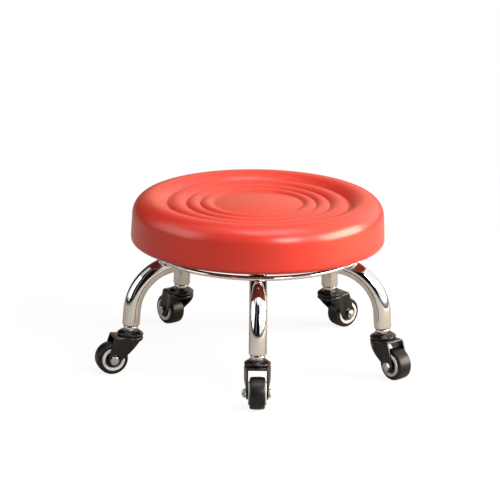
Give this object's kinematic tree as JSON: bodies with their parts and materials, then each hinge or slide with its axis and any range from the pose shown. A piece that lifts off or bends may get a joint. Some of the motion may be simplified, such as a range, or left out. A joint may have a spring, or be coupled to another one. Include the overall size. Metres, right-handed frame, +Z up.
{
  "type": "rolling stool",
  "caption": "Low round stool with a creased red cushion that turns on a ball-bearing plate, bent chromed tube legs joined by a rod ring, and small black swivel casters",
  "frame": {"origin": "on the floor, straight below the middle of the seat; the wheels stand on Z = 0", "axes": "+Z up, the front leg points towards -Y, +X to the right of someone who looks at the front leg"},
  "size_m": [0.3959, 0.3865, 0.2163],
  "materials": {
    "chromed_tube": "polished",
    "black_painted_steel": "gloss",
    "zinc_plated_steel": "satin",
    "polished_steel": "polished",
    "black_tyre": "satin",
    "light_grey_plastic": "satin",
    "black_plastic": "satin",
    "red_leathercloth": "satin",
    "seat_foam": "matte",
    "plywood": "matte",
    "black_cloth": "matte"
  },
  "bodies": {
    "base": {"leg_front": "chromed_tube", "leg_front_right": "chromed_tube", "leg_rear_right": "chromed_tube", "leg_rear_left": "chromed_tube", "leg_front_left": "chromed_tube", "support_ring": "chromed_tube", "hub_tube": "chromed_tube", "hub_plate": "chromed_tube", "turntable_lower_plate": "zinc_plated_steel", "turntable_rivet": "zinc_plated_steel", "turntable_balls": "polished_steel", "turntable_studs": "zinc_plated_steel", "turntable_nuts": "zinc_plated_steel", "leg_inserts": "zinc_plated_steel", "caster_stems": "zinc_plated_steel", "stem_collars": "chromed_tube", "swivel_balls": "polished_steel", "race_cap_front": "black_painted_steel", "race_cap_front_right": "black_painted_steel", "race_cap_rear_right": "black_painted_steel", "race_cap_rear_left": "black_painted_steel", "race_cap_front_left": "black_painted_steel"},
    "seat": {"seat_cover": "red_leathercloth", "seat_foam": "seat_foam", "seat_board": "plywood", "dust_cover": "black_cloth", "seat_staples": "zinc_plated_steel", "board_screws": "zinc_plated_steel", "turntable_upper_plate": "zinc_plated_steel"},
    "fork_front": {"fork_front": "black_painted_steel", "axle_bolt_front": "zinc_plated_steel", "lock_nut_front": "zinc_plated_steel"},
    "wheel_front": {"tyre_front": "black_tyre", "wheel_rim_front": "light_grey_plastic", "wheel_hub_front": "black_plastic"},
    "fork_front_right": {"fork_front_right": "black_painted_steel", "axle_bolt_front_right": "zinc_plated_steel", "lock_nut_front_right": "zinc_plated_steel"},
    "wheel_front_right": {"tyre_front_right": "black_tyre", "wheel_rim_front_right": "light_grey_plastic", "wheel_hub_front_right": "black_plastic"},
    "fork_rear_right": {"fork_rear_right": "black_painted_steel", "axle_bolt_rear_right": "zinc_plated_steel", "lock_nut_rear_right": "zinc_plated_steel"},
    "wheel_rear_right": {"tyre_rear_right": "black_tyre", "wheel_rim_rear_right": "light_grey_plastic", "wheel_hub_rear_right": "black_plastic"},
    "fork_rear_left": {"fork_rear_left": "black_painted_steel", "axle_bolt_rear_left": "zinc_plated_steel", "lock_nut_rear_left": "zinc_plated_steel"},
    "wheel_rear_left": {"tyre_rear_left": "black_tyre", "wheel_rim_rear_left": "light_grey_plastic", "wheel_hub_rear_left": "black_plastic"},
    "fork_front_left": {"fork_front_left": "black_painted_steel", "axle_bolt_front_left": "zinc_plated_steel", "lock_nut_front_left": "zinc_plated_steel"},
    "wheel_front_left": {"tyre_front_left": "black_tyre", "wheel_rim_front_left": "light_grey_plastic", "wheel_hub_front_left": "black_plastic"}
  },
  "joints": [
    {"name": "seat_swivel", "type": "hinge", "parent": "base", "child": "seat", "pos_m": [0, 0, 0.1577], "axis": [0, 0, 1], "continuous": true},
    {"name": "caster_front_swivel", "type": "hinge", "parent": "base", "child": "fork_front", "pos_m": [0, -0.16682, 0.04823], "axis": [0, 0.0698, 0.9976], "continuous": true},
    {"name": "wheel_front_spin", "type": "hinge", "parent": "fork_front", "child": "wheel_front", "pos_m": [0, -0.19135, 0.02], "axis": [1, 0, 0], "continuous": true},
    {"name": "caster_front_right_swivel", "type": "hinge", "parent": "base", "child": "fork_front_right", "pos_m": [0.15866, -0.05155, 0.04823], "axis": [-0.0663, 0.0216, 0.9976], "continuous": true},
    {"name": "wheel_front_right_spin", "type": "hinge", "parent": "fork_front_right", "child": "wheel_front_right", "pos_m": [0.17445, -0.06991, 0.01973], "axis": [0.7867, 0.6161, 0.039], "continuous": true},
    {"name": "caster_rear_right_swivel", "type": "hinge", "parent": "base", "child": "fork_rear_right", "pos_m": [0.09806, 0.13496, 0.04823], "axis": [-0.041, -0.0564, 0.9976], "continuous": true},
    {"name": "wheel_rear_right_spin", "type": "hinge", "parent": "fork_rear_right", "child": "wheel_rear_right", "pos_m": [0.11674, 0.15077, 0.01995], "axis": [-0.6297, 0.7766, 0.0181], "continuous": true},
    {"name": "caster_rear_left_swivel", "type": "hinge", "parent": "base", "child": "fork_rear_left", "pos_m": [-0.09806, 0.13496, 0.04823], "axis": [0.041, -0.0564, 0.9976], "continuous": true},
    {"name": "wheel_rear_left_spin", "type": "hinge", "parent": "fork_rear_left", "child": "wheel_rear_left", "pos_m": [-0.11247, 0.15481, 0.02], "axis": [-0.809, -0.5878, 0], "continuous": true},
    {"name": "caster_front_left_swivel", "type": "hinge", "parent": "base", "child": "fork_front_left", "pos_m": [-0.15866, -0.05155, 0.04823], "axis": [0.0663, 0.0216, 0.9976], "continuous": true},
    {"name": "wheel_front_left_spin", "type": "hinge", "parent": "fork_front_left", "child": "wheel_front_left", "pos_m": [-0.18199, -0.05913, 0.02], "axis": [0.309, -0.9511, 0], "continuous": true}
  ]
}
